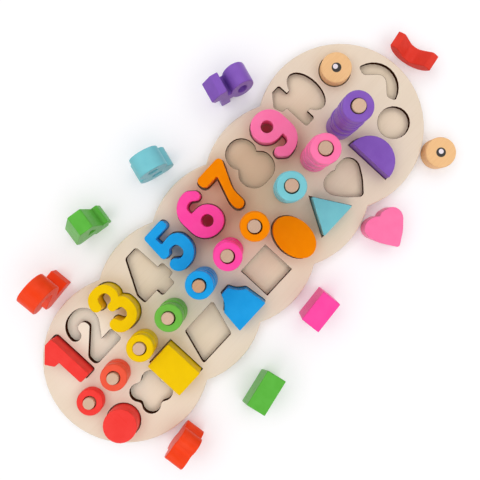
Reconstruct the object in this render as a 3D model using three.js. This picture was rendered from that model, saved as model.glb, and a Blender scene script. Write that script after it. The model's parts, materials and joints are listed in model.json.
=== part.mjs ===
// A wooden counting and shape sorting board with an outline of five round lobes.
// Millimetres, Z up, the origin in the middle of the underside of the board.
import * as THREE from "three";
import { mergeVertices } from "three/addons/utils/BufferGeometryUtils.js";

// Driving sizes of the board
const LOBE_RADIUS = 68.25;
const LOBE_COUNT = 5;
const LOBE_PITCH_RATIO = 0.945;
const BASE_THICKNESS = 4.5;
const TOP_THICKNESS = 4.5;
const FIT_CLEARANCE = 0.7;
const WIDE_CLEARANCE = 1;

// Driving sizes of the loose pieces
const BLOCK_THICKNESS = 16.5;
const FACE_THICKNESS = 13.3;
const EYE_RADIUS = 12.5;

// Driving sizes of the pegs and the counting rings
const PEG_RADIUS = 4.75;
const PEG_CHAMFER = 0.75;
const PEG_PROUD = 1.5;
const PEG_SEAT_GAP = 0.25;
const RING_RADIUS = 10.75;
const RING_THICKNESS = 7.75;
const RING_BORE_PLAY = 0.7;
const RING_CHAMFER = 0.75;
const SEPARATE_RINGS_UP_TO = 5;

// Fineness of the curves
const CHORD_ERROR = 0.12;
const ROUND_SIDES = 12;
const SAME_POINT = 0.02;

const BOARD_TOP = BASE_THICKNESS + TOP_THICKNESS;

// Paints and woods
const BIRCH = { color: 0xe2d0bb, roughness: 0.7 };
const BIRCH_FLOOR = { color: 0xdec8b2, roughness: 0.75 };
const DOWEL = { color: 0xd4b496, roughness: 0.7 };
const EYE_WOOD = { color: 0xecb87d, roughness: 0.6 };
const RED = { color: 0xf74846, roughness: 0.45 };
const VERMILION = { color: 0xfa5c42, roughness: 0.45 };
const YELLOW = { color: 0xf2c800, roughness: 0.45 };
const GREEN = { color: 0x68be4a, roughness: 0.45 };
const BLUE = { color: 0x289be4, roughness: 0.45 };
const HOT_PINK = { color: 0xfe4ca2, roughness: 0.45 };
const ORANGE = { color: 0xee8400, roughness: 0.45 };
const TURQUOISE = { color: 0x7ac4ce, roughness: 0.45 };
const LIGHT_PINK = { color: 0xff7daf, roughness: 0.45 };
const PURPLE = { color: 0x845abe, roughness: 0.45 };
const COUNT_PAINTS = [
  RED, VERMILION, YELLOW, GREEN, BLUE, HOT_PINK, ORANGE, TURQUOISE, LIGHT_PINK, PURPLE,
];

const radians = THREE.MathUtils.degToRad;
const degrees = THREE.MathUtils.radToDeg;

// All outlines are drawn in lobe radii, so they grow with the board.
// Points along part of an ellipse, as outline corners without a radius.
function arc(x, y, radiusX, radiusY, from, to) {
  const step = 2 * Math.acos(1 - CHORD_ERROR / (Math.max(radiusX, radiusY) * LOBE_RADIUS));
  const count = Math.ceil(Math.abs(radians(to - from)) / step);
  const corners = [];
  for (let i = 0; i <= count; i += 1) {
    const angle = radians(from + ((to - from) * i) / count);
    corners.push([x + radiusX * Math.cos(angle), y + radiusY * Math.sin(angle), 0]);
  }
  return corners;
}

// The same without its last point, where a next arc goes on.
function openArc(...sizes) {
  return arc(...sizes).slice(0, -1);
}

function ellipse(x, y, radiusX, radiusY) {
  return openArc(x, y, radiusX, radiusY, 0, 360);
}

function box(x, y, width, depth, radius) {
  const right = x + width / 2;
  const back = y + depth / 2;
  return [
    [right - width, back - depth, radius],
    [right, back - depth, radius],
    [right, back, radius],
    [right - width, back, radius],
  ];
}

// Turns an outline half a turn about its middle and puts that middle at x, y.
function halfTurn(corners, fromX, fromY, x, y) {
  return corners.map(([cornerX, cornerY, radius]) => [x + fromX - cornerX, y + fromY - cornerY, radius]);
}

// The same corners without radii: a recess is sawn out to sharp corners.
function sharp(corners) {
  return corners.map(([x, y]) => [x, y, 0]);
}

// Points in millimetres of a closed outline that runs anticlockwise. Each corner is x, y and radius.
// The outline is moved outwards by grow, so a recess keeps its distance from its piece all round.
function trace(corners, grow) {
  const points = [];
  const put = (point) => {
    const last = points[points.length - 1];
    if (!last || last.distanceTo(point) > SAME_POINT) points.push(point);
  };
  const corner = (i) => new THREE.Vector2(...corners[(i + corners.length) % corners.length]);
  const at = (i) => corner(i).multiplyScalar(LOBE_RADIUS);
  corners.forEach(([, , radius], i) => {
    const into = at(i).sub(at(i - 1)).normalize();
    const away = at(i + 1).sub(at(i)).normalize();
    const outward = new THREE.Vector2(into.y + away.y, -into.x - away.x);
    const moved = at(i).addScaledVector(outward, grow / (1 + into.dot(away)));
    const turn = Math.atan2(into.cross(away), into.dot(away));
    const side = Math.sign(turn);
    const round = radius > 0 ? Math.max(radius * LOBE_RADIUS + side * grow, 0) : 0;
    if (round <= CHORD_ERROR) {
      put(moved);
      return;
    }
    const tangent = round * Math.tan(Math.abs(turn) / 2);
    const start = moved.clone().addScaledVector(into, -tangent);
    const centre = start.clone().add(new THREE.Vector2(-into.y, into.x).multiplyScalar(side * round));
    const step = 2 * Math.acos(1 - CHORD_ERROR / round);
    const count = Math.ceil(Math.abs(turn) / step);
    for (let k = 0; k <= count; k += 1) {
      put(start.clone().rotateAround(centre, (turn * k) / count));
    }
  });
  if (points[0].distanceTo(points[points.length - 1]) <= SAME_POINT) points.pop();
  return points;
}

function plate(outline, holes, thickness) {
  const shape = new THREE.Shape(outline);
  holes.forEach((hole) => shape.holes.push(new THREE.Path(hole)));
  return new THREE.ExtrudeGeometry(shape, { depth: thickness, bevelEnabled: false });
}

const assembly = new THREE.Group();
assembly.name = "shape_sorting_board";

function add(name, geometry, paint) {
  geometry.deleteAttribute("normal");
  geometry.deleteAttribute("uv");
  const material = new THREE.MeshStandardMaterial({ ...paint, metalness: 0 });
  const mesh = new THREE.Mesh(mergeVertices(geometry), material);
  mesh.name = name;
  assembly.add(mesh);
  return mesh;
}

// The outlines of the ten numbers, where each lies in its recess
const ONE = [
  [-2.378, 0.207, 0.019], [-2.236, 0.207, 0.019], [-2.236, 0.809, 0.026], [-2.34, 0.809, 0.022],
  [-2.509, 0.659, 0.012], [-2.446, 0.555, 0.022], [-2.378, 0.551, 0],
];
const TWO = [
  [-2.171, 0.224, 0.048], [-1.752, 0.224, 0.015], [-1.752, 0.374, 0.015], [-1.931, 0.374, 0],
  [-1.749, 0.595, 0.202], [-1.749, 0.842, 0.173], [-2.154, 0.842, 0.201], [-2.154, 0.579, 0.057],
  [-2.037, 0.579, 0.057], [-2.037, 0.709, 0.072], [-1.877, 0.709, 0.079], [-1.877, 0.589, 0.054],
  [-2.171, 0.34, 0.063],
];
const THREE_OUTLINE = [
  [-1.679, 0.211, 0.154], [-1.286, 0.211, 0.196], [-1.286, 0.505, 0.117], [-1.345, 0.566, 0],
  [-1.313, 0.608, 0.117], [-1.313, 0.832, 0.168], [-1.679, 0.832, 0.161], [-1.679, 0.605, 0.064],
  [-1.574, 0.605, 0.038], [-1.543, 0.727, 0.05], [-1.415, 0.727, 0.062], [-1.415, 0.589, 0.059],
  [-1.537, 0.589, 0.047], [-1.537, 0.489, 0.047], [-1.407, 0.463, 0.044], [-1.407, 0.337, 0.066],
  [-1.533, 0.337, 0.047], [-1.568, 0.437, 0.038], [-1.679, 0.437, 0.067],
];
const FOUR = [
  [-1.023, 0.208, 0.018], [-0.831, 0.208, 0.018], [-0.831, 0.303, 0], [-0.758, 0.303, 0.015],
  [-0.758, 0.459, 0.015], [-0.832, 0.459, 0], [-0.837, 0.813, 0.023], [-1.008, 0.813, 0.029],
  [-1.231, 0.415, 0.035], [-1.231, 0.303, 0.021], [-1.023, 0.303, 0],
];
const FOUR_HOLE = [[-1.033, 0.484, 0.009], [-0.92, 0.484, 0.009], [-0.92, 0.659, 0.009]];
const FIVE = [
  [-0.695, 0.213, 0.125], [-0.308, 0.213, 0.215], [-0.308, 0.635, 0.15], [-0.571, 0.609, 0.015],
  [-0.571, 0.705, 0.015], [-0.358, 0.705, 0.037], [-0.358, 0.813, 0.041], [-0.664, 0.813, 0.037],
  [-0.694, 0.461, 0.047], [-0.594, 0.461, 0.035], [-0.556, 0.507, 0.037], [-0.442, 0.507, 0.066],
  [-0.442, 0.343, 0.07], [-0.546, 0.343, 0.037], [-0.6, 0.406, 0.044], [-0.695, 0.406, 0.067],
];
const SIX = [
  [-0.235, 0.216, 0.22], [0.184, 0.216, 0.183], [0.184, 0.593, 0.188], [-0.079, 0.593, 0],
  [-0.079, 0.701, 0.062], [0.023, 0.701, 0.044], [0.082, 0.649, 0.037], [0.159, 0.649, 0.05],
  [0.159, 0.734, 0.045], [0.069, 0.825, 0.09], [-0.235, 0.825, 0.249],
];
const SIX_HOLE = ellipse(-0.009, 0.406, 0.075, 0.075);
const SEVEN = [
  [0.319, 0.207, 0.069], [0.458, 0.207, 0.069], [0.458, 0.428, 0.293], [0.629, 0.758, 0.033],
  [0.606, 0.81, 0.05], [0.231, 0.81, 0.055], [0.231, 0.668, 0.059], [0.448, 0.668, 0.012],
  [0.321, 0.343, 0.22],
];
const EIGHT = [
  [0.611, 0.215, 0.18], [1.059, 0.215, 0.18], [1.059, 0.463, 0.132], [0.982, 0.547, 0],
  [1.024, 0.602, 0.117], [1.024, 0.828, 0.173], [0.667, 0.828, 0.173], [0.667, 0.602, 0.117],
  [0.705, 0.547, 0], [0.611, 0.463, 0.132],
];
const EIGHT_HOLES = [ellipse(0.845, 0.667, 0.063, 0.063), ellipse(0.835, 0.403, 0.067, 0.067)];
const NINE = halfTurn(SIX, -0.024, 0.517, 1.286, 0.521);
const NINE_HOLE = halfTurn(SIX_HOLE, -0.024, 0.517, 1.286, 0.521);
const ZERO_RATIOS = { x: 1.927, y: 0.593, width: 0.147, height: 0.268 };
// A one and a zero with a neck between them. The neck of the block is lower than that of its recess.
function ten(neckFrom, neckTo) {
  const { x, y, width, height } = ZERO_RATIOS;
  const from = 180 + degrees(Math.asin((y - neckFrom) / height));
  const to = 540 - degrees(Math.asin((neckTo - y) / height));
  return [
    [1.632, 0.318, 0.015], [1.752, 0.318, 0.015], [1.752, neckFrom, 0],
    ...arc(x, y, width, height, from, to),
    [1.741, neckTo, 0], [1.741, 0.869, 0.015], [1.644, 0.869, 0.012], [1.53, 0.741, 0.012],
    [1.56, 0.648, 0.012], [1.632, 0.633, 0],
  ];
}
const TEN = ten(0.47, 0.65);
const TEN_RECESS = ten(0.431, 0.736);
const TEN_HOLE = ellipse(ZERO_RATIOS.x, ZERO_RATIOS.y, 0.059, 0.125);

// The outlines of the ten shapes
const FLOWER_X_RATIO = -1.974;
const FLOWER_Y_RATIO = -0.484;
const PETAL_RATIO = 0.101;
const PETAL_OUT_RATIO = 0.104;
const PETAL_DIP_RATIO = 0.167;
const inward = PETAL_DIP_RATIO - PETAL_OUT_RATIO;
const DIP_RATIO = (inward ** 2 + PETAL_OUT_RATIO ** 2 - PETAL_RATIO ** 2) / (2 * (PETAL_RATIO - inward));
const DIP_ANGLE = degrees(Math.atan2(PETAL_OUT_RATIO, inward + DIP_RATIO));
const FLOWER = [0, 90, 180, 270].flatMap((quarter) => {
  const turnX = Math.round(Math.cos(radians(quarter)));
  const turnY = Math.round(Math.sin(radians(quarter)));
  const petalX = FLOWER_X_RATIO + PETAL_OUT_RATIO * (turnX - turnY);
  const petalY = FLOWER_Y_RATIO + PETAL_OUT_RATIO * (turnX + turnY);
  const dipX = FLOWER_X_RATIO + (PETAL_DIP_RATIO + DIP_RATIO) * turnX;
  const dipY = FLOWER_Y_RATIO + (PETAL_DIP_RATIO + DIP_RATIO) * turnY;
  return [
    ...openArc(dipX, dipY, DIP_RATIO, DIP_RATIO, quarter + 180 + DIP_ANGLE, quarter + 180 - DIP_ANGLE),
    ...openArc(petalX, petalY, PETAL_RATIO, PETAL_RATIO, quarter - DIP_ANGLE, quarter + 90 + DIP_ANGLE),
  ];
});
const RECTANGLE = box(-1.538, -0.489, 0.355, 0.503, 0.012);
const SQUARE = box(0.032, -0.508, 0.407, 0.407, 0.012);
const RHOMBUS = [
  [-1.281, -0.703, 0.012], [-0.816, -0.703, 0.012], [-0.69, -0.297, 0.012], [-1.155, -0.297, 0.012],
];
const BOTTLE = [
  [-0.69, -0.741, 0.012], [-0.248, -0.741, 0.012], [-0.281, -0.46, 0.012], [-0.372, -0.39, 0.205],
  [-0.412, -0.296, 0.009], [-0.526, -0.296, 0.009], [-0.566, -0.39, 0.205], [-0.656, -0.46, 0.012],
];
const TRIANGLE = [[0.784, -0.721, 0.012], [1.272, -0.721, 0.012], [1.027, -0.299, 0.012]];
const HEART = [
  [1.468, -0.75, 0.035], [1.61, -0.607, 0.293], [1.713, -0.454, 0.132], [1.713, -0.287, 0.119],
  [1.515, -0.287, 0.063], [1.468, -0.316, 0], [1.421, -0.287, 0.063], [1.223, -0.287, 0.119],
  [1.223, -0.454, 0.132], [1.326, -0.607, 0.293],
];
const SEMICIRCLE = arc(1.792, -0.516, 0.294, 0.294, -88, 88);

// The outlines of the face. Both ends of the mouth are alike.
const MOUTH_Y_RATIO = 0.031;
const MOUTH_END = [[2.574, 0.28, 0.015], [2.547, 0.196, 0.034]];
const MOUTH = [
  ...arc(2.504, MOUTH_Y_RATIO, 0.289, 0.289, -72, 72),
  ...MOUTH_END.map(([x, y, radius]) => [x, MOUTH_Y_RATIO + y, radius]),
  [2.737, MOUTH_Y_RATIO, 0.11],
  ...MOUTH_END.toReversed().map(([x, y, radius]) => [x, MOUTH_Y_RATIO - y, radius]),
];
const EYE_ROUND = EYE_RADIUS / LOBE_RADIUS;
const LEFT_EYE = ellipse(2.338, 0.51, EYE_ROUND, EYE_ROUND);
const RIGHT_EYE = ellipse(2.359, -0.429, EYE_ROUND, EYE_ROUND);

// Ways a piece lies on the table beside the board
const UPRIGHT = [90, 0];
const ON_ITS_BACK = [0, 90];
const FLAT = [0, 0];

// Each piece has a recess, which follows the outline of the piece unless it has its own. Some numbers are
// sanded smaller and lie in it with a wide clearance. A piece with a place lies beside the board: x, y, the
// turn about the vertical and the way it lies.
const PIECES = [
  { name: "number_1", paint: RED, outline: ONE, clearance: WIDE_CLEARANCE },
  { name: "number_2", paint: VERMILION, outline: TWO, place: [-1.915, 1.24, 3.3, UPRIGHT] },
  { name: "number_3", paint: YELLOW, outline: THREE_OUTLINE },
  { name: "number_4", paint: GREEN, outline: FOUR, holes: [FOUR_HOLE], place: [-1.011, 1.414, -11, UPRIGHT] },
  { name: "number_5", paint: BLUE, outline: FIVE },
  { name: "number_6", paint: HOT_PINK, outline: SIX, holes: [SIX_HOLE], clearance: WIDE_CLEARANCE },
  { name: "number_7", paint: ORANGE, outline: SEVEN, clearance: WIDE_CLEARANCE },
  {
    name: "number_8", paint: TURQUOISE, outline: EIGHT, holes: EIGHT_HOLES,
    place: [0.029, 1.333, -16.5, UPRIGHT],
  },
  { name: "number_9", paint: LIGHT_PINK, outline: NINE, holes: [NINE_HOLE] },
  {
    name: "number_10", paint: PURPLE, outline: TEN, recess: TEN_RECESS, holes: [TEN_HOLE],
    place: [1.326, 1.294, -18, UPRIGHT],
  },
  { name: "shape_circle", paint: RED, outline: ellipse(-2.444, -0.472, 0.199, 0.199) },
  { name: "shape_flower", paint: VERMILION, outline: FLOWER, place: [-2.129, -1.187, 5.5, UPRIGHT] },
  { name: "shape_rectangle", paint: YELLOW, outline: RECTANGLE, recess: sharp(RECTANGLE) },
  { name: "shape_rhombus", paint: GREEN, outline: RHOMBUS, place: [-1.043, -1.448, 11, UPRIGHT] },
  { name: "shape_bottle", paint: BLUE, outline: BOTTLE },
  {
    name: "shape_square", paint: HOT_PINK, outline: SQUARE, recess: sharp(SQUARE),
    place: [0.122, -1.266, 4.4, UPRIGHT],
  },
  { name: "shape_ellipse", paint: ORANGE, outline: ellipse(0.538, -0.473, 0.207, 0.289) },
  { name: "shape_triangle", paint: TURQUOISE, outline: TRIANGLE, recess: sharp(TRIANGLE) },
  { name: "shape_heart", paint: LIGHT_PINK, outline: HEART, place: [1.355, -1.235, -14.8, FLAT] },
  { name: "shape_semicircle", paint: PURPLE, outline: SEMICIRCLE },
  { name: "eye_left", paint: EYE_WOOD, outline: LEFT_EYE, face: true },
  { name: "eye_right", paint: EYE_WOOD, outline: RIGHT_EYE, face: true, place: [2.462, -1.075, 0, FLAT] },
  { name: "mouth", paint: RED, outline: MOUTH, face: true, place: [3.12, -0.031, 9.6, ON_ITS_BACK] },
];

// Where the pegs stand, peg 1 to peg 10
const PEG_PLACES = [
  [-2.519, -0.029], [-2.067, -0.035], [-1.568, -0.022], [-1.067, -0.026], [-0.554, -0.035],
  [-0.095, -0.037], [0.333, -0.034], [0.894, -0.031], [1.382, -0.022], [1.877, 0.018],
];

// The outline of the board: the outer arcs of a row of circles that cut into each other
const CUSP_ANGLE = degrees(Math.acos(LOBE_PITCH_RATIO / 2));
const FIRST_LOBE = (-(LOBE_COUNT - 1) / 2) * LOBE_PITCH_RATIO;
const LOBES = Array.from({ length: LOBE_COUNT }, (unused, i) => FIRST_LOBE + i * LOBE_PITCH_RATIO);
const lobeArc = (x, from, to) => openArc(x, 0, 1, 1, from, to);
const MIDDLE_LOBES = LOBES.slice(1, -1);
const BOARD = [
  ...lobeArc(LOBES[LOBE_COUNT - 1], CUSP_ANGLE - 180, 180 - CUSP_ANGLE),
  ...MIDDLE_LOBES.toReversed().flatMap((x) => lobeArc(x, CUSP_ANGLE, 180 - CUSP_ANGLE)),
  ...lobeArc(LOBES[0], CUSP_ANGLE, 360 - CUSP_ANGLE),
  ...MIDDLE_LOBES.flatMap((x) => lobeArc(x, 180 + CUSP_ANGLE, 360 - CUSP_ANGLE)),
];

function roundPoints(radius, x, y) {
  return Array.from({ length: ROUND_SIDES }, (unused, i) => {
    const angle = (2 * Math.PI * i) / ROUND_SIDES;
    return new THREE.Vector2(x + radius * Math.cos(angle), y + radius * Math.sin(angle));
  });
}

// The base plate closes the recesses from below. The top plate has every recess and peg hole cut through it.
const pegPlaces = PEG_PLACES.map(([x, y]) => new THREE.Vector2(x, y).multiplyScalar(LOBE_RADIUS));
const recesses = PIECES.map(({ outline, recess = outline, clearance = FIT_CLEARANCE }) => {
  return trace(recess, clearance);
});
const pegHoles = pegPlaces.map((place) => roundPoints(PEG_RADIUS + PEG_SEAT_GAP, place.x, place.y));
add("board_base", plate(trace(BOARD, 0), [], BASE_THICKNESS), BIRCH_FLOOR);
const boardTop = add("board_top", plate(trace(BOARD, 0), [...recesses, ...pegHoles], TOP_THICKNESS), BIRCH);
boardTop.position.z = BASE_THICKNESS;

// The blocks. Each is drawn about its own middle. One in its recess stands on the base plate and rises
// above the board, so that fingers can take hold of it.
PIECES.forEach(({ name, paint, outline, holes = [], face, place }) => {
  const thickness = face ? FACE_THICKNESS : BLOCK_THICKNESS;
  const points = trace(outline, 0);
  const middle = new THREE.Box2().setFromPoints(points).getCenter(new THREE.Vector2());
  const geometry = plate(points, holes.map((hole) => trace(hole, 0)), thickness);
  geometry.translate(-middle.x, -middle.y, 0);
  const mesh = add(name, geometry, paint);
  if (!place) {
    mesh.position.set(middle.x, middle.y, BASE_THICKNESS);
    return;
  }
  const [x, y, yaw, [tiltX, tiltY]] = place;
  mesh.geometry.translate(0, 0, -thickness / 2);
  mesh.rotation.set(radians(tiltX), radians(tiltY), radians(yaw), "ZXY");
  mesh.position.set(x * LOBE_RADIUS, y * LOBE_RADIUS, 0);
  mesh.position.z = -new THREE.Box3().setFromObject(mesh, true).min.z;
});

// A peg is a dowel with both rims broken. It is glued into its hole and stands on the base plate.
function pegGeometry(height) {
  const shape = new THREE.Shape(roundPoints(PEG_RADIUS - PEG_CHAMFER, 0, 0));
  const geometry = new THREE.ExtrudeGeometry(shape, {
    depth: height - 2 * PEG_CHAMFER,
    bevelSegments: 1,
    bevelSize: PEG_CHAMFER,
    bevelThickness: PEG_CHAMFER,
  });
  return geometry.translate(0, 0, PEG_CHAMFER);
}

// Rings turned on a lathe, with both outer rims broken. Rings in one stack meet at their broken rims.
function ringGeometry(count) {
  const bore = PEG_RADIUS + RING_BORE_PLAY;
  const rim = RING_RADIUS - RING_CHAMFER;
  const profile = [new THREE.Vector2(bore, 0), new THREE.Vector2(rim, 0)];
  for (let i = 0; i < count; i += 1) {
    const bottom = i * RING_THICKNESS;
    profile.push(new THREE.Vector2(RING_RADIUS, bottom + RING_CHAMFER));
    profile.push(new THREE.Vector2(RING_RADIUS, bottom + RING_THICKNESS - RING_CHAMFER));
    profile.push(new THREE.Vector2(rim, bottom + RING_THICKNESS));
  }
  profile.push(new THREE.Vector2(bore, count * RING_THICKNESS));
  profile.push(new THREE.Vector2(bore, 0));
  return new THREE.LatheGeometry(profile, ROUND_SIDES).rotateX(Math.PI / 2);
}

// Peg n carries n rings. On the high pegs the rings under the top one are a single stack.
pegPlaces.forEach((place, i) => {
  const count = i + 1;
  const peg = add(`peg_${count}`, pegGeometry(TOP_THICKNESS + count * RING_THICKNESS + PEG_PROUD), DOWEL);
  peg.position.set(place.x, place.y, BASE_THICKNESS);
  const addRings = (name, below, height) => {
    const rings = add(name, ringGeometry(height), COUNT_PAINTS[i]);
    rings.position.set(place.x, place.y, BOARD_TOP + below * RING_THICKNESS);
  };
  if (count > SEPARATE_RINGS_UP_TO) {
    addRings(`stack_${count}`, 0, count - 1);
    addRings(`ring_${count}_top`, count - 1, 1);
    return;
  }
  for (let k = 0; k < count; k += 1) {
    addRings(`ring_${count}_${k + 1}`, k, 1);
  }
});

export default assembly;
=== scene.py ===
import json
import math
import random

import bmesh
import bpy
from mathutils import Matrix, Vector


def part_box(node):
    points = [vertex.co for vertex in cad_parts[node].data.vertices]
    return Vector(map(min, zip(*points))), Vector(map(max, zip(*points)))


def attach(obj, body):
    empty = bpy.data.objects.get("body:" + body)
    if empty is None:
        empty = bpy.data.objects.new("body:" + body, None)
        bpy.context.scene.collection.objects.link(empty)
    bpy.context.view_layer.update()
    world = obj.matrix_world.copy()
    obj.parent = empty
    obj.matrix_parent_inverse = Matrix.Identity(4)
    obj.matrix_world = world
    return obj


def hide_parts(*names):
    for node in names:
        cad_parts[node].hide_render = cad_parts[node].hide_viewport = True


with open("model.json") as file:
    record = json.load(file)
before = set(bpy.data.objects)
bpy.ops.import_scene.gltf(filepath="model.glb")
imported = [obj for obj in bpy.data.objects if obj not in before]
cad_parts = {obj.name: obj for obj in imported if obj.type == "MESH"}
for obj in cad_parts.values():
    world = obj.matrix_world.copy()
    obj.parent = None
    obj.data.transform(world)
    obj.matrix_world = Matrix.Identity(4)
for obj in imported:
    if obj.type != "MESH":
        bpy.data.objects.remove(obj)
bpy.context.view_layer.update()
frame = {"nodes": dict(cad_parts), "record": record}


# The base plate
# Birch plywood, sawn to five lobes and sanded. It is glued under the top plate, so it shows as the
# floor of every empty recess and as the lower half of the rim.
MM = 0.001
SAME_PLACE = 0.01 * MM
CLOSE_POINTS = 0.1 * MM
SAME_PLANE = math.radians(0.5)
SMOOTH_ANGLE = math.radians(40)
UP = Vector((0, 0, 1))
LOBE_COUNT = 5
LOBE_RADIUS = 68.25 * MM
LOBE_PITCH = 0.945 * LOBE_RADIUS
RIM_BAND = 0.6 * MM
BASE_RIM_ROUND = 0.8 * MM
INSET_PER_ROUND = 1.2

# How much of a face's normal lies along an axis, at least for a flat face, at most for a wall
FLAT_FACE = 0.99
UPRIGHT_WALL = 0.3


def blank(node, name):
    """A merged copy of one solid with its flat faces whole, alone selected and in edit mode."""
    bpy.ops.object.select_all(action="DESELECT")
    piece = bpy.data.objects.new(name, frame["nodes"][node].data.copy())
    bpy.context.collection.objects.link(piece)
    piece.data.materials.clear()
    bpy.context.view_layer.objects.active = piece
    piece.select_set(True)
    bpy.ops.object.mode_set(mode="EDIT")
    bpy.ops.mesh.select_all(action="SELECT")
    bpy.ops.mesh.remove_doubles(threshold=CLOSE_POINTS)
    bpy.ops.mesh.dissolve_limited(angle_limit=SAME_PLANE)
    return piece


def pick(piece, kind, wanted):
    """Selects the edges or the faces of a piece in edit mode that wanted says yes to."""
    bpy.ops.mesh.select_mode(type=kind)
    bpy.ops.mesh.select_all(action="DESELECT")
    shape = bmesh.from_edit_mesh(piece.data)
    for part in shape.edges if kind == "EDGE" else shape.faces:
        part.select_set(wanted(part))
    bmesh.update_edit_mesh(piece.data)


def refill(piece, side):
    """Fills the flat face that looks to one side with even triangles, and leaves them selected."""
    pick(piece, "FACE", lambda face: face.normal.dot(side) > FLAT_FACE)
    bpy.ops.mesh.delete(type="FACE")
    pick(piece, "EDGE", lambda edge: edge.is_boundary)
    bpy.ops.mesh.fill(use_beauty=True)
    bpy.ops.mesh.select_all(action="SELECT")
    bpy.ops.mesh.normals_make_consistent(inside=False)
    pick(piece, "FACE", lambda face: face.normal.dot(side) > FLAT_FACE)


def inside_board(point):
    """How far a point lies inside the outline of the lobes."""
    middles = [(i - (LOBE_COUNT - 1) / 2) * LOBE_PITCH for i in range(LOBE_COUNT)]
    return LOBE_RADIUS - min(math.hypot(point.x - x, point.y) for x in middles)


def is_outer_wall(face):
    return abs(face.normal.z) < UPRIGHT_WALL and inside_board(face.calc_center_median()) < RIM_BAND


def middle_of(edge):
    return (edge.verts[0].co + edge.verts[1].co) / 2


def is_level(edge):
    return abs(edge.verts[0].co.z - edge.verts[1].co.z) < SAME_PLACE


def round_outer_rim(plate, height, radius):
    """Rounds the outer edge of a plate at this height, on a narrow band of faces made for it."""
    refill(plate, UP)
    refill(plate, -UP)
    pick(plate, "FACE", lambda face: not is_outer_wall(face))
    bpy.ops.mesh.inset(thickness=radius * INSET_PER_ROUND)
    pick(
        plate, "EDGE",
        lambda edge: abs(middle_of(edge).z - height) < SAME_PLACE
        and [is_outer_wall(face) for face in edge.link_faces].count(True) == 1,
    )
    bpy.ops.mesh.bevel(offset=radius, segments=3)


def settle(piece, body, slot, *nodes):
    """Ends edit mode, smooths the round edges, ties the piece to its body and hides its solids."""
    bpy.ops.object.mode_set(mode="OBJECT")
    bpy.ops.object.shade_smooth_by_angle(angle=SMOOTH_ANGLE)
    bpy.ops.object.modifier_add(type="WEIGHTED_NORMAL")
    piece.modifiers[-1].keep_sharp = True
    bpy.ops.object.modifier_apply(modifier=piece.modifiers[-1].name)
    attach(piece, body)
    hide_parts(*nodes)


def colour(code):
    """A linear colour from an sRGB hex code."""
    parts = [int(code[i : i + 2], 16) / 255 for i in (0, 2, 4)]
    return [*(p / 12.92 if p <= 0.04045 else ((p + 0.055) / 1.055) ** 2.4 for p in parts), 1.0]


def connect(material, node, sockets):
    """Gives each socket of a node its value, or links it to the output of another node."""
    for name, value in sockets.items():
        if isinstance(value, bpy.types.NodeSocket):
            material.node_tree.links.new(value, node.inputs[name])
        else:
            node.inputs[name].default_value = value


def add(material, kind, sockets, **settings):
    """Adds a node with its settings and sockets."""
    made = material.node_tree.nodes.new(kind)
    for name, value in settings.items():
        setattr(made, name, value)
    connect(material, made, sockets)
    return made


def start(name):
    """A new material with its shader, and the place on the object that its patterns read."""
    material = bpy.data.materials.new(name)
    material.use_nodes = True
    place = add(material, "ShaderNodeTexCoord", {}).outputs["Object"]
    return material, material.node_tree.nodes["Principled BSDF"], place


# Sockets of the node that mixes two colours
MIX_FACTOR = 0
MIX_A = 6
MIX_B = 7
MIX_RESULT = 2

# The range that most of a noise pattern keeps to
NOISE_LOW = 0.3
NOISE_HIGH = 0.7

# Sanded birch: pale, with fine streaks along the board and wide soft clouds from the peeled veneer.
GRAIN_LENGTH = 45 * MM
GRAIN_WIDTH = 1.1 * MM
GRAIN_DEPTH = 0.05 * MM
FIGURE_LENGTH = 90 * MM
FIGURE_WIDTH = 16 * MM
# The recess floor is painted lighter than the face of the same plywood: painted light that lifts the
# shade which falls into the recesses.
FLOOR_PALE_WITH_PAINTED_LIGHT = "F1DDC4"
FLOOR_DEEP_WITH_PAINTED_LIGHT = "E7D1B5"
PLY_STREAK = "CFB598"
STREAK_RANGE = (0.5, 0.8)
STREAK_SHARE = 0.16
PLY_ROUGHNESS = (0.58, 0.72)

# The wood has two soft patches: a darker, browner one, and a paler, less pink one over the tail, which
# is painted light: it lightens the wood there and takes out the pink of the light that the red blocks
# throw onto it. For each, the middle and the reach, its colour and how that is laid over the wood.
# Both plates have them.
PATCH_FADE = 0.6
WOOD_PATCHES_WITH_PAINTED_LIGHT = [
    ((38 * MM, 26 * MM), (108 * MM, 46 * MM), "EBE2D5", "MULTIPLY"),
    ((-140 * MM, 15 * MM), (50 * MM, 75 * MM), "EEE3D1", "MIX"),
]


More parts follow.
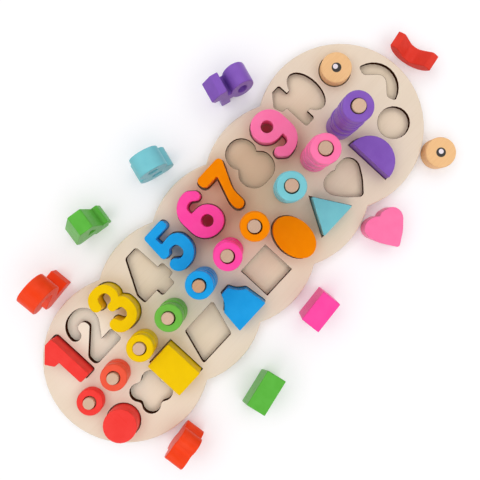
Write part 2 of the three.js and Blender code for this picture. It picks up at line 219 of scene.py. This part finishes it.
def sanded_birch(name, pale, deep):
    birch, shader, place = start(name)
    along_grain = add(
        birch, "ShaderNodeMapping",
        {"Vector": place, "Scale": (1 / GRAIN_LENGTH, 1 / GRAIN_WIDTH, 1 / GRAIN_WIDTH)},
    ).outputs[0]
    grain = add(
        birch, "ShaderNodeTexNoise",
        {"Vector": along_grain, "Scale": 1.0, "Detail": 3.0, "Roughness": 0.6},
    ).outputs["Fac"]
    along_figure = add(
        birch, "ShaderNodeMapping",
        {"Vector": place, "Scale": (1 / FIGURE_LENGTH, 1 / FIGURE_WIDTH, 1 / FIGURE_WIDTH)},
    ).outputs[0]
    figure = add(
        birch, "ShaderNodeTexNoise",
        {"Vector": along_figure, "Scale": 1.0, "Detail": 2.0, "Distortion": 0.6},
    ).outputs["Fac"]
    clouds = add(
        birch, "ShaderNodeMix",
        {MIX_FACTOR: figure, MIX_A: colour(pale), MIX_B: colour(deep)}, data_type="RGBA",
    ).outputs[MIX_RESULT]
    # The patches go over the clouds of the wood; the pale one on the tail is painted light.
    for patch_middle, reach, tint, laid in WOOD_PATCHES_WITH_PAINTED_LIGHT:
        patch_place = add(
            birch, "ShaderNodeMapping",
            {
                "Vector": place,
                "Location": (-patch_middle[0] / reach[0], -patch_middle[1] / reach[1], 0),
                "Scale": (1 / reach[0], 1 / reach[1], 0),
            },
        ).outputs[0]
        patch = add(
            birch, "ShaderNodeTexGradient", {"Vector": patch_place}, gradient_type="SPHERICAL",
        ).outputs["Fac"]
        soft_patch = add(
            birch, "ShaderNodeMapRange",
            {"Value": patch, "From Max": PATCH_FADE}, interpolation_type="SMOOTHSTEP",
        ).outputs[0]
        clouds = add(
            birch, "ShaderNodeMix",
            {MIX_FACTOR: soft_patch, MIX_A: clouds, MIX_B: colour(tint)},
            data_type="RGBA", blend_type=laid,
        ).outputs[MIX_RESULT]
    streak = add(
        birch, "ShaderNodeMapRange",
        {
            "Value": grain,
            "From Min": STREAK_RANGE[0],
            "From Max": STREAK_RANGE[1],
            "To Max": STREAK_SHARE,
        },
    ).outputs[0]
    face = add(
        birch, "ShaderNodeMix",
        {MIX_FACTOR: streak, MIX_A: clouds, MIX_B: colour(PLY_STREAK)}, data_type="RGBA",
    ).outputs[MIX_RESULT]
    dull = add(
        birch, "ShaderNodeMapRange",
        {
            "Value": grain,
            "From Min": NOISE_LOW,
            "From Max": NOISE_HIGH,
            "To Min": PLY_ROUGHNESS[0],
            "To Max": PLY_ROUGHNESS[1],
        },
    ).outputs[0]
    ridges = add(
        birch, "ShaderNodeBump", {"Strength": 0.35, "Distance": GRAIN_DEPTH, "Height": grain},
    ).outputs[0]
    connect(birch, shader, {"Base Color": face, "Roughness": dull, "Normal": ridges})
    return birch


# The sawn edge of the plywood: thin plies, by turns along and across, so by turns pale and brown.
# A wave pattern of scale 1 repeats after WAVE_TURN.
WAVE_TURN = 2 * math.pi / 20
PLY_PAIR = 3 * MM
PLY_LINE = (0.35, 0.65)
SAW_GRIT = 1.5 * MM
EDGE_PALE = "E6D3BA"
EDGE_BROWN = "BE9A72"
EDGE_ROUGHNESS = (0.6, 0.85)
edge_ply, edge_shader, edge_place = start("birch_plywood_sawn_edge")
layers = add(
    edge_ply, "ShaderNodeTexWave",
    {"Vector": edge_place, "Scale": WAVE_TURN / PLY_PAIR, "Distortion": 0.6, "Detail Scale": 40.0},
    bands_direction="Z",
).outputs["Fac"]
sharp_layers = add(
    edge_ply, "ShaderNodeMapRange",
    {"Value": layers, "From Min": PLY_LINE[0], "From Max": PLY_LINE[1]},
).outputs[0]
sawn = add(
    edge_ply, "ShaderNodeTexNoise", {"Vector": edge_place, "Scale": 1 / SAW_GRIT, "Detail": 3.0},
).outputs["Fac"]
ply_tone = add(
    edge_ply, "ShaderNodeMix",
    {MIX_FACTOR: sharp_layers, MIX_A: colour(EDGE_BROWN), MIX_B: colour(EDGE_PALE)},
    data_type="RGBA",
).outputs[MIX_RESULT]
edge_dull = add(
    edge_ply, "ShaderNodeMapRange",
    {"Value": sawn, "To Min": EDGE_ROUGHNESS[0], "To Max": EDGE_ROUGHNESS[1]},
).outputs[0]
edge_bump = add(
    edge_ply, "ShaderNodeBump", {"Strength": 0.4, "Distance": GRAIN_DEPTH, "Height": sawn},
).outputs[0]
connect(edge_ply, edge_shader, {"Base Color": ply_tone, "Roughness": edge_dull, "Normal": edge_bump})

base = blank("board_base", "base_plate")
round_outer_rim(base, 0, BASE_RIM_ROUND)
# The floor of the recesses has the lighter tones, painted light against the shade inside them.
base.data.materials.append(sanded_birch("birch_plywood_recess_floor_with_painted_light", FLOOR_PALE_WITH_PAINTED_LIGHT, FLOOR_DEEP_WITH_PAINTED_LIGHT))
base.data.materials.append(edge_ply)
pick(base, "FACE", is_outer_wall)
base.active_material_index = 1
bpy.ops.object.material_slot_assign()
settle(base, "board", "plywood_base", "board_base")


# The top plate
# The same plywood, with the recesses and peg holes cut right through by laser. The cut walls are
# burnt dark brown, with a thin scorched line along their upper edge. The outer rim is rounded off.
BOARD_TOP = 9 * MM
TOP_RIM_ROUND = 1 * MM
SCORCH_WIDTH = 0.2 * MM
FACE_PALE = "EAD9C5"
FACE_DEEP = "E1CEB7"

# Laser-burnt wood: dull soot in upright streaks, brown where it is thin.
SOOT_STREAK_WIDTH = 0.9 * MM
SOOT_STREAK_HEIGHT = 6 * MM
SOOT_RANGE = (0.35, 0.7)
SOOT_BLACK = "260E03"
SOOT_BROWN = "48210B"
SOOT_GLOSS = 0.02
burnt, burnt_shader, burnt_place = start("laser_burnt_plywood_wall")
upright_streaks = add(
    burnt, "ShaderNodeMapping",
    {
        "Vector": burnt_place,
        "Scale": (1 / SOOT_STREAK_WIDTH, 1 / SOOT_STREAK_WIDTH, 1 / SOOT_STREAK_HEIGHT),
    },
).outputs[0]
soot = add(
    burnt, "ShaderNodeTexNoise", {"Vector": upright_streaks, "Scale": 1.0, "Detail": 4.0},
).outputs["Fac"]
thin_soot = add(
    burnt, "ShaderNodeMapRange",
    {"Value": soot, "From Min": SOOT_RANGE[0], "From Max": SOOT_RANGE[1]},
).outputs[0]
soot_tone = add(
    burnt, "ShaderNodeMix",
    {MIX_FACTOR: thin_soot, MIX_A: colour(SOOT_BLACK), MIX_B: colour(SOOT_BROWN)}, data_type="RGBA",
).outputs[MIX_RESULT]
soot_bump = add(
    burnt, "ShaderNodeBump", {"Strength": 0.5, "Distance": GRAIN_DEPTH, "Height": soot},
).outputs[0]
connect(
    burnt, burnt_shader,
    {"Base Color": soot_tone, "Roughness": 0.85, "Normal": soot_bump, "Specular IOR Level": SOOT_GLOSS},
)

top = blank("board_top", "top_plate")
round_outer_rim(top, BOARD_TOP, TOP_RIM_ROUND)
top.data.materials.append(sanded_birch("birch_plywood_sanded_face", FACE_PALE, FACE_DEEP))
top.data.materials.append(edge_ply)
top.data.materials.append(burnt)
pick(top, "FACE", is_outer_wall)
top.active_material_index = 1
bpy.ops.object.material_slot_assign()
pick(top, "FACE", lambda face: abs(face.normal.z) < UPRIGHT_WALL and not is_outer_wall(face))
top.active_material_index = 2
bpy.ops.object.material_slot_assign()
bpy.ops.mesh.select_all(action="INVERT")
bpy.ops.mesh.inset(thickness=SCORCH_WIDTH, use_select_inset=True)
bpy.ops.object.material_slot_assign()
settle(top, "board", "plywood", "board_top")


# The pegs
# Dowels of bare beech, cut to length, with the rim broken by sanding. Each is glued into its hole
# and stands a little higher than the rings that it carries.
PEG_COUNT = 10
PEG_SIDES = 40
PEG_RIM = 0.7 * MM

# The long grain of beech: fine fibres up and down the dowel, some pale and some brown.
FIBRE_LENGTH = 14 * MM
FIBRE_WIDTH = 0.7 * MM
DOWEL_PALE = "E0C4A4"
DOWEL_BROWN = "C49C74"
dowel, dowel_shader, dowel_place = start("beech_dowel_long_grain")
fibres_place = add(
    dowel, "ShaderNodeMapping",
    {"Vector": dowel_place, "Scale": (1 / FIBRE_WIDTH, 1 / FIBRE_WIDTH, 1 / FIBRE_LENGTH)},
).outputs[0]
fibres = add(
    dowel, "ShaderNodeTexNoise", {"Vector": fibres_place, "Scale": 1.0, "Detail": 4.0},
).outputs["Fac"]
dowel_tone = add(
    dowel, "ShaderNodeMix",
    {MIX_FACTOR: fibres, MIX_A: colour(DOWEL_PALE), MIX_B: colour(DOWEL_BROWN)}, data_type="RGBA",
).outputs[MIX_RESULT]
dowel_bump = add(
    dowel, "ShaderNodeBump", {"Strength": 0.4, "Distance": GRAIN_DEPTH, "Height": fibres},
).outputs[0]
connect(dowel, dowel_shader, {"Base Color": dowel_tone, "Roughness": 0.65, "Normal": dowel_bump})

# End grain drinks light: darker than the sides, peppered with pores and crossed by faint rays.
PORE_SIZE = 0.45 * MM


def end_grain(name, pale, deep, ray):
    grain, shader, place = start(name)
    pores = add(
        grain, "ShaderNodeTexNoise",
        {"Vector": place, "Scale": 1 / PORE_SIZE, "Detail": 2.0, "Roughness": 0.7},
    ).outputs["Fac"]
    rays_place = add(
        grain, "ShaderNodeMapping",
        {"Vector": place, "Scale": (1 / FIBRE_LENGTH, 1 / FIBRE_WIDTH, 1.0)},
    ).outputs[0]
    rays = add(
        grain, "ShaderNodeTexNoise", {"Vector": rays_place, "Scale": 1.0, "Detail": 3.0},
    ).outputs["Fac"]
    speckle = add(
        grain, "ShaderNodeMix",
        {MIX_FACTOR: pores, MIX_A: colour(pale), MIX_B: colour(deep)}, data_type="RGBA",
    ).outputs[MIX_RESULT]
    tone = add(
        grain, "ShaderNodeMix",
        {MIX_FACTOR: rays, MIX_A: speckle, MIX_B: colour(ray)}, data_type="RGBA",
    ).outputs[MIX_RESULT]
    bump = add(
        grain, "ShaderNodeBump", {"Strength": 0.4, "Distance": GRAIN_DEPTH, "Height": pores},
    ).outputs[0]
    connect(grain, shader, {"Base Color": tone, "Roughness": 0.8, "Normal": bump})
    return grain


# The dowels come from three different rods, and PEG_ENDS has the end grain of each peg in turn.
pale_end = end_grain("pale_beech_end_grain", "D6B196", "BE987F", "D9B89E")
dull_end = end_grain("dull_beech_end_grain", "C8A48C", "B08B75", "CCAB93")
brown_end = end_grain("brown_beech_end_grain", "C69A74", "AE825E", "CA9F7C")
PEG_ENDS = [pale_end] * 4 + [brown_end] + [dull_end] * 4 + [pale_end]
for n in range(1, PEG_COUNT + 1):
    low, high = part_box(f"peg_{n}")
    bpy.ops.object.select_all(action="DESELECT")
    bpy.ops.mesh.primitive_cylinder_add(
        vertices=PEG_SIDES,
        radius=(high.y - low.y) / 2,
        depth=high.z - low.z,
        location=(low + high) / 2,
    )
    bpy.ops.object.transform_apply(location=True)
    peg = bpy.context.object
    peg.name = f"dowel_peg_{n}"
    peg.data.materials.append(dowel)
    peg.data.materials.append(PEG_ENDS[n - 1])
    bpy.ops.object.mode_set(mode="EDIT")
    pick(peg, "FACE", lambda face: abs(face.normal.z) > FLAT_FACE)
    peg.active_material_index = 1
    bpy.ops.object.material_slot_assign()
    pick(peg, "EDGE", is_level)
    bpy.ops.mesh.bevel(offset=PEG_RIM, segments=3)
    settle(peg, "board", "dowel_wood", f"peg_{n}")


# The counting rings
# Beech rings turned on a lathe, with rounded rims and a drilled bore, painted all over. They drop
# loosely over the pegs, so no two in a stack lie quite above each other.
RING_SIDES = 64
RING_RADIUS = 10.75 * MM
RING_THICKNESS = 7.75 * MM
RING_BORE = 5.45 * MM
RING_RIM = 1.3 * MM
BORE_RIM = 0.25 * MM
SEPARATE_RINGS_UP_TO = 5
SLOT_OF = {entry["node"]: entry["material_slot"] for entry in frame["record"]["subparts"]}

# Water-based satin paint on sanded beech: it hides the colour of the wood, but the grain still shows
# as a faint relief, and the coat is a little thinner and lighter here and there.
PAINT_CLOUD = 9 * MM
PAINT_GRAIN_LENGTH = 18 * MM
PAINT_GRAIN_WIDTH = 0.9 * MM
PAINT_RELIEF = 0.03 * MM
PAINT_ROUGHNESS = (0.26, 0.36)
PAINT_GLOSS = 0.08


def satin_paint(name, full, thin):
    paint, shader, place = start(name)
    cloud = add(
        paint, "ShaderNodeTexNoise", {"Vector": place, "Scale": 1 / PAINT_CLOUD, "Detail": 3.0},
    ).outputs["Fac"]
    grain_place = add(
        paint, "ShaderNodeMapping",
        {
            "Vector": place,
            "Scale": (1 / PAINT_GRAIN_WIDTH, 1 / PAINT_GRAIN_LENGTH, 1 / PAINT_GRAIN_WIDTH),
        },
    ).outputs[0]
    grain = add(
        paint, "ShaderNodeTexNoise", {"Vector": grain_place, "Scale": 1.0, "Detail": 3.0},
    ).outputs["Fac"]
    thin_coat = add(
        paint, "ShaderNodeMapRange", {"Value": cloud, "From Min": NOISE_LOW, "From Max": NOISE_HIGH},
    ).outputs[0]
    tone = add(
        paint, "ShaderNodeMix",
        {MIX_FACTOR: thin_coat, MIX_A: colour(full), MIX_B: colour(thin)}, data_type="RGBA",
    ).outputs[MIX_RESULT]
    sheen = add(
        paint, "ShaderNodeMapRange",
        {
            "Value": grain,
            "From Min": NOISE_LOW,
            "From Max": NOISE_HIGH,
            "To Min": PAINT_ROUGHNESS[0],
            "To Max": PAINT_ROUGHNESS[1],
        },
    ).outputs[0]
    relief = add(
        paint, "ShaderNodeBump", {"Strength": 0.15, "Distance": PAINT_RELIEF, "Height": grain},
    ).outputs[0]
    connect(
        paint, shader,
        {"Base Color": tone, "Roughness": sheen, "Normal": relief, "Specular IOR Level": PAINT_GLOSS},
    )
    return paint


# The paints by their slot. The rings have lighter copies of two of them, a coral and a leaf green.
PAINTS = {
    "red_paint": satin_paint("satin_red_paint_on_beech", "F03A34", "F3423C"),
    "vermilion_paint": satin_paint("satin_vermilion_paint_on_beech", "F03F16", "F34822"),
    "yellow_paint": satin_paint("satin_yellow_paint_on_beech", "ECC000", "F0C500"),
    "green_paint": satin_paint("satin_green_paint_on_beech", "59B03D", "60B745"),
    "blue_paint": satin_paint("satin_blue_paint_on_beech", "1B9ADF", "22A0E4"),
    "hot_pink_paint": satin_paint("satin_hot_pink_paint_on_beech", "FB46A0", "FD4EA5"),
    "orange_paint": satin_paint("satin_orange_paint_on_beech", "F08300", "F48900"),
    "turquoise_paint": satin_paint("satin_turquoise_paint_on_beech", "75C1CC", "7BC8D1"),
    "light_pink_paint": satin_paint("satin_light_pink_paint_on_beech", "FC74A7", "FD7CAD"),
    "purple_paint": satin_paint("satin_purple_paint_on_beech", "8257B6", "885EBC"),
}
RING_PAINTS = {
    **PAINTS,
    "vermilion_paint": satin_paint("satin_coral_paint_on_beech", "EC543A", "F05C42"),
    "green_paint": satin_paint("satin_leaf_green_paint_on_beech", "6AB241", "70B949"),
}

# How far the rings have slipped sideways, in millimetres for the top ring of each peg and for two
# more rings of the last stack. The others slip at random within RING_PLAY.
TOP_SHIFTS = [
    (0.55, 0.0), (0.5, 0.0), (0.2, -0.3), (0.35, -0.3), (0.62, 0.1),
    (0.0, -0.6), (0.0, -0.5), (-0.2, -0.3), (0.0, -0.45), (-0.2, 0.2),
]
LOW_SHIFTS = {(10, 9): (-0.46, 0.48), (10, 8): (-0.46, 0.48)}
RING_PLAY = 0.62 * MM
RING_SEED = 5


def is_ring_rim(edge):
    """An edge that runs round the ring on its upper or lower face."""
    return is_level(edge) and abs(edge.verts[0].co.xy.length - edge.verts[1].co.xy.length) < SAME_PLACE


bpy.ops.object.select_all(action="DESELECT")
bpy.ops.mesh.primitive_cylinder_add(vertices=RING_SIDES, radius=RING_RADIUS, depth=RING_THICKNESS)
ring_pattern = bpy.context.object
bpy.ops.object.mode_set(mode="EDIT")
pick(ring_pattern, "FACE", lambda face: abs(face.normal.z) > FLAT_FACE)
bpy.ops.mesh.inset(thickness=RING_RADIUS - RING_BORE)
bpy.ops.mesh.bridge_edge_loops()
between = (RING_RADIUS + RING_BORE) / 2
pick(ring_pattern, "EDGE", lambda edge: is_ring_rim(edge) and middle_of(edge).xy.length > between)
bpy.ops.mesh.bevel(offset=RING_RIM, segments=4)
pick(ring_pattern, "EDGE", lambda edge: is_ring_rim(edge) and middle_of(edge).xy.length < between)
bpy.ops.mesh.bevel(offset=BORE_RIM, segments=2)
bpy.ops.object.mode_set(mode="OBJECT")
slips = random.Random(RING_SEED)
for n in range(1, PEG_COUNT + 1):
    ring_nodes = [f"ring_{n}_{k}" for k in range(1, n + 1)]
    if n > SEPARATE_RINGS_UP_TO:
        ring_nodes = [f"stack_{n}", f"ring_{n}_top"]
    for node in ring_nodes:
        low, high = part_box(node)
        middle = (low + high) / 2
        for level in range(round((high.z - low.z) / RING_THICKNESS)):
            bpy.ops.object.select_all(action="DESELECT")
            bpy.context.view_layer.objects.active = ring_pattern
            ring_pattern.select_set(True)
            bpy.ops.object.duplicate(linked=False)
            ring = bpy.context.object
            k = round((low.z - BOARD_TOP) / RING_THICKNESS) + level + 1
            ring.name = f"counting_ring_{n}_{k}"
            slip = Vector([slips.uniform(-RING_PLAY, RING_PLAY) for axis in "xy"])
            if k == n:
                slip = Vector(TOP_SHIFTS[n - 1]) * MM
            if (n, k) in LOW_SHIFTS:
                slip = Vector(LOW_SHIFTS[n, k]) * MM
            height = low.z + (level + 0.5) * RING_THICKNESS
            ring.location = (middle.x + slip.x, middle.y + slip.y, height)
            bpy.ops.object.transform_apply(location=True)
            ring.data.materials.append(RING_PAINTS[SLOT_OF[node]])
            settle(ring, node, SLOT_OF[node], node)
bpy.ops.object.select_all(action="DESELECT")
ring_pattern.select_set(True)
bpy.ops.object.delete()


# The number and shape blocks
# Sawn from beech board, sanded round along every edge and painted. Most sit in their recesses, where
# some have slipped to one side, by as many millimetres as SEAT_SHIFTS says. The others lie on the
# table.
BLOCK_ROUND = 0.6 * MM
ROUND_STEPS = 3
SEAT_SHIFTS = {
    "number_1": (-0.34, -0.27),
    "number_5": (0.34, -0.48),
    "number_6": (0.61, -0.27),
    "number_7": (0.61, 0.14),
    "shape_ellipse": (0.53, 0.01),
    "shape_bottle": (0.27, -0.29),
}


def round_block(node, name):
    """A block with the rims of its two flat faces rounded, still in edit mode."""
    block = blank(node, name)
    sides = bmesh.from_edit_mesh(block.data).faces
    axis = max(sides, key=lambda face: len(face.verts)).normal.copy()
    turns = [math.radians(90) * step / ROUND_STEPS for step in range(ROUND_STEPS + 1)]
    for side in (axis, -axis):
        refill(block, side)
        bpy.ops.transform.translate(value=side * -BLOCK_ROUND)
        for a, b in zip(turns, turns[1:]):
            inward = BLOCK_ROUND * (math.cos(a) - math.cos(b))
            bpy.ops.mesh.inset(thickness=inward, depth=BLOCK_ROUND * (math.sin(b) - math.sin(a)))
    return block


for node in SLOT_OF:
    if node.startswith(("number_", "shape_")):
        block = round_block(node, f"{node}_block")
        bpy.ops.mesh.select_all(action="SELECT")
        bpy.ops.transform.translate(value=Vector((*SEAT_SHIFTS.get(node, (0, 0)), 0)) * MM)
        block.data.materials.append(PAINTS[SLOT_OF[node]])
        settle(block, node, SLOT_OF[node], node)


# The mouth
# A crescent sawn from the same beech and painted red. It lies on the table on its round back. Its red
# is a darker copy of the paint: painted shade, for the shade over its hollow face.
mouth = round_block("mouth", "mouth_crescent")
# A darker copy of the red paint: painted shade over the hollow of the crescent.
mouth.data.materials.append(satin_paint("satin_red_paint_with_painted_shade_on_beech", "DC3728", "E13E2F"))
settle(mouth, "mouth", SLOT_OF["mouth"], "mouth")


# The eyes
# Turned discs of beech in a clear honey stain, with a black pupil and a white glint printed on the
# upper face. One sits in its recess and the other lies on the table.
EYE_SIDES = 64
EYE_ROUND = 1.1 * MM
PUPIL_RADIUS = 3.9 * MM
GLINT_RADIUS = 2 * MM
EYE_GLINTS = {"eye_left": (0, 1.2 * MM), "eye_right": (0.6 * MM, 0.4 * MM)}

# Honey stain on beech: the fibres show through it, and the ink lies on the upper face alone.
HONEY_PALE = "F4C58E"
HONEY_DEEP = "E8B274"
PUPIL_BLACK = "2A2622"
GLINT_WHITE = "EBE0E5"
PRINT_BLUR = 0.12 * MM
PRINT_DEPTH = 0.4 * MM
EYE_ROUGHNESS = (0.45, 0.65)


def printed_disc(name, middle, top_height, glint):
    wood, shader, place = start(name)
    fibre_place = add(
        wood, "ShaderNodeMapping",
        {"Vector": place, "Scale": (1 / FIBRE_LENGTH, 1 / FIBRE_WIDTH, 1 / FIBRE_WIDTH)},
    ).outputs[0]
    fibre = add(
        wood, "ShaderNodeTexNoise", {"Vector": fibre_place, "Scale": 1.0, "Detail": 4.0},
    ).outputs["Fac"]
    ink = add(
        wood, "ShaderNodeMix",
        {MIX_FACTOR: fibre, MIX_A: colour(HONEY_PALE), MIX_B: colour(HONEY_DEEP)}, data_type="RGBA",
    ).outputs[MIX_RESULT]
    height = add(wood, "ShaderNodeSeparateXYZ", {"Vector": place}).outputs["Z"]
    on_face = add(
        wood, "ShaderNodeMath", {0: height, 1: top_height - PRINT_DEPTH}, operation="GREATER_THAN",
    ).outputs[0]
    prints = ((PUPIL_RADIUS, (0, 0), PUPIL_BLACK), (GLINT_RADIUS, glint, GLINT_WHITE))
    for radius, offset, code in prints:
        centred = add(
            wood, "ShaderNodeVectorMath",
            {0: place, 1: (middle.x + offset[0], middle.y + offset[1], 0)}, operation="SUBTRACT",
        ).outputs[0]
        flat = add(
            wood, "ShaderNodeVectorMath", {0: centred, 1: (1, 1, 0)}, operation="MULTIPLY",
        ).outputs[0]
        away = add(wood, "ShaderNodeVectorMath", {0: flat}, operation="LENGTH").outputs["Value"]
        dot = add(
            wood, "ShaderNodeMapRange",
            {
                "Value": away,
                "From Min": radius - PRINT_BLUR,
                "From Max": radius + PRINT_BLUR,
                "To Min": 1.0,
                "To Max": 0.0,
            },
        ).outputs[0]
        mask = add(wood, "ShaderNodeMath", {0: dot, 1: on_face}, operation="MULTIPLY").outputs[0]
        ink = add(
            wood, "ShaderNodeMix",
            {MIX_FACTOR: mask, MIX_A: ink, MIX_B: colour(code)}, data_type="RGBA",
        ).outputs[MIX_RESULT]
    dull = add(
        wood, "ShaderNodeMapRange",
        {"Value": fibre, "To Min": EYE_ROUGHNESS[0], "To Max": EYE_ROUGHNESS[1]},
    ).outputs[0]
    relief = add(
        wood, "ShaderNodeBump", {"Strength": 0.3, "Distance": GRAIN_DEPTH, "Height": fibre},
    ).outputs[0]
    connect(wood, shader, {"Base Color": ink, "Roughness": dull, "Normal": relief})
    return wood


for node, glint in EYE_GLINTS.items():
    low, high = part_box(node)
    middle = (low + high) / 2
    bpy.ops.object.select_all(action="DESELECT")
    bpy.ops.mesh.primitive_cylinder_add(
        vertices=EYE_SIDES, radius=(high.x - low.x) / 2, depth=high.z - low.z, location=middle,
    )
    bpy.ops.object.transform_apply(location=True)
    disc = bpy.context.object
    disc.name = f"{node}_disc"
    bpy.ops.object.mode_set(mode="EDIT")
    pick(disc, "EDGE", is_level)
    bpy.ops.mesh.bevel(offset=EYE_ROUND, segments=4)
    disc.data.materials.append(printed_disc(f"honey_stained_beech_{node}", middle, high.z, glint))
    settle(disc, node, SLOT_OF[node], node)


# The table
# A plain white laminate top. Seen by itself it is white, lit by the room but for a share, TABLE_GLOW,
# that it gives off. What it throws back onto the board and the blocks is a shade greyer.
TABLE_SIZE = 3.0
TABLE_DROP = 0.2 * MM
TABLE_GLOW = 0.15
TABLE_MOTTLE = 167 * MM
MOTTLE_PALE = "EDECED"
MOTTLE_DEEP = "ECEAED"
BOUNCE_GREY = "F0F0F1"
WHITE = colour("FFFFFF")


def plainly_seen(material):
    """One for the rays that show the background: straight, mirrored or through glass."""
    path = add(material, "ShaderNodeLightPath", {}).outputs
    mirrored = add(
        material, "ShaderNodeMath",
        {0: path["Is Camera Ray"], 1: path["Is Glossy Ray"]}, operation="MAXIMUM",
    ).outputs[0]
    return add(
        material, "ShaderNodeMath", {0: mirrored, 1: path["Is Transmission Ray"]}, operation="MAXIMUM",
    ).outputs[0]


bpy.ops.object.select_all(action="DESELECT")
bpy.ops.mesh.primitive_plane_add(size=TABLE_SIZE, location=(0, 0, -TABLE_DROP))
table = bpy.context.object
table.name = "table"
laminate, laminate_shader, laminate_place = start("white_table_laminate")
mottle = add(
    laminate, "ShaderNodeTexNoise",
    {"Vector": laminate_place, "Scale": 1 / TABLE_MOTTLE, "Detail": 2.0},
).outputs["Fac"]
seen_tone = add(
    laminate, "ShaderNodeMix",
    {MIX_FACTOR: mottle, MIX_A: colour(MOTTLE_DEEP), MIX_B: colour(MOTTLE_PALE)}, data_type="RGBA",
).outputs[MIX_RESULT]
seen = plainly_seen(laminate)
table_tone = add(
    laminate, "ShaderNodeMix",
    {MIX_FACTOR: seen, MIX_A: colour(BOUNCE_GREY), MIX_B: seen_tone}, data_type="RGBA",
).outputs[MIX_RESULT]
table_glow = add(
    laminate, "ShaderNodeMath", {0: seen, 1: TABLE_GLOW}, operation="MULTIPLY",
).outputs[0]
connect(
    laminate, laminate_shader,
    {
        "Base Color": table_tone,
        "Roughness": 0.8,
        "Specular IOR Level": 0.1,
        "Emission Color": WHITE,
        "Emission Strength": table_glow,
    },
)
table.data.materials.append(laminate)


# The light
# A wide soft ceiling of light in a small white room. It fades towards the walls, between the two
# angles of WALL_EDGE, and is shaded by the camera straight above the board, inside CAMERA_EDGE. The
# walls light the board at WALL_SHARE of the ceiling, but are plain white where they are seen.
CEILING_LIGHT = 1.7
ROOM_WHITE = 1.0
WALL_SHARE = 0.32
CAMERA_SHADE_SHARE = 0.03
WALL_EDGE = (math.cos(math.radians(61)), math.cos(math.radians(51)))
CAMERA_EDGE = (math.cos(math.radians(28)), math.cos(math.radians(20)))
world = bpy.data.worlds.new("studio")
world.use_nodes = True
bpy.context.scene.world = world
way = add(world, "ShaderNodeTexCoord", {}).outputs["Generated"]
steepness = add(world, "ShaderNodeSeparateXYZ", {"Vector": way}).outputs["Z"]
wall_share = add(
    world, "ShaderNodeMapRange",
    {"Value": plainly_seen(world), "To Min": WALL_SHARE, "To Max": ROOM_WHITE / CEILING_LIGHT},
).outputs[0]
above_walls = add(
    world, "ShaderNodeMapRange",
    {"Value": steepness, "From Min": WALL_EDGE[0], "From Max": WALL_EDGE[1], "To Min": wall_share},
).outputs[0]
beside_camera = add(
    world, "ShaderNodeMapRange",
    {
        "Value": steepness,
        "From Min": CAMERA_EDGE[0],
        "From Max": CAMERA_EDGE[1],
        "To Min": CEILING_LIGHT,
        "To Max": CEILING_LIGHT * CAMERA_SHADE_SHARE,
    },
).outputs[0]
brightness = add(
    world, "ShaderNodeMath", {0: above_walls, 1: beside_camera}, operation="MULTIPLY",
).outputs[0]
connect(world, world.node_tree.nodes["Background"], {"Color": WHITE, "Strength": brightness})


# The camera
# It hangs straight above the board, turned so that the head points to the upper right. AXIS_PIXEL is
# the pixel of the photograph straight below it.
IMAGE_SIDE = 480
AXIS_PIXEL = (254.3, 214.2)
FOCAL_PIXELS = 490.2
SENSOR = 36.0
NEAR_CLIP = 10 * MM
CAMERA_PLACE = (29 * MM, 3.5 * MM)
CAMERA_ABOVE_BOARD = 400 * MM
BOARD_TURN = math.radians(47.28)
camera_data = bpy.data.cameras.new("overhead")
camera_data.sensor_width = SENSOR
camera_data.lens = SENSOR * FOCAL_PIXELS / IMAGE_SIDE
camera_data.shift_x = (IMAGE_SIDE / 2 - AXIS_PIXEL[0]) / IMAGE_SIDE
camera_data.shift_y = (AXIS_PIXEL[1] - IMAGE_SIDE / 2) / IMAGE_SIDE
camera_data.clip_start = NEAR_CLIP
camera = bpy.data.objects.new("overhead", camera_data)
camera.location = (*CAMERA_PLACE, BOARD_TOP + CAMERA_ABOVE_BOARD)
camera.rotation_euler = (0, 0, -BOARD_TURN)
bpy.context.scene.collection.objects.link(camera)
bpy.context.scene.camera = camera
bpy.context.scene.view_settings.view_transform = "Standard"
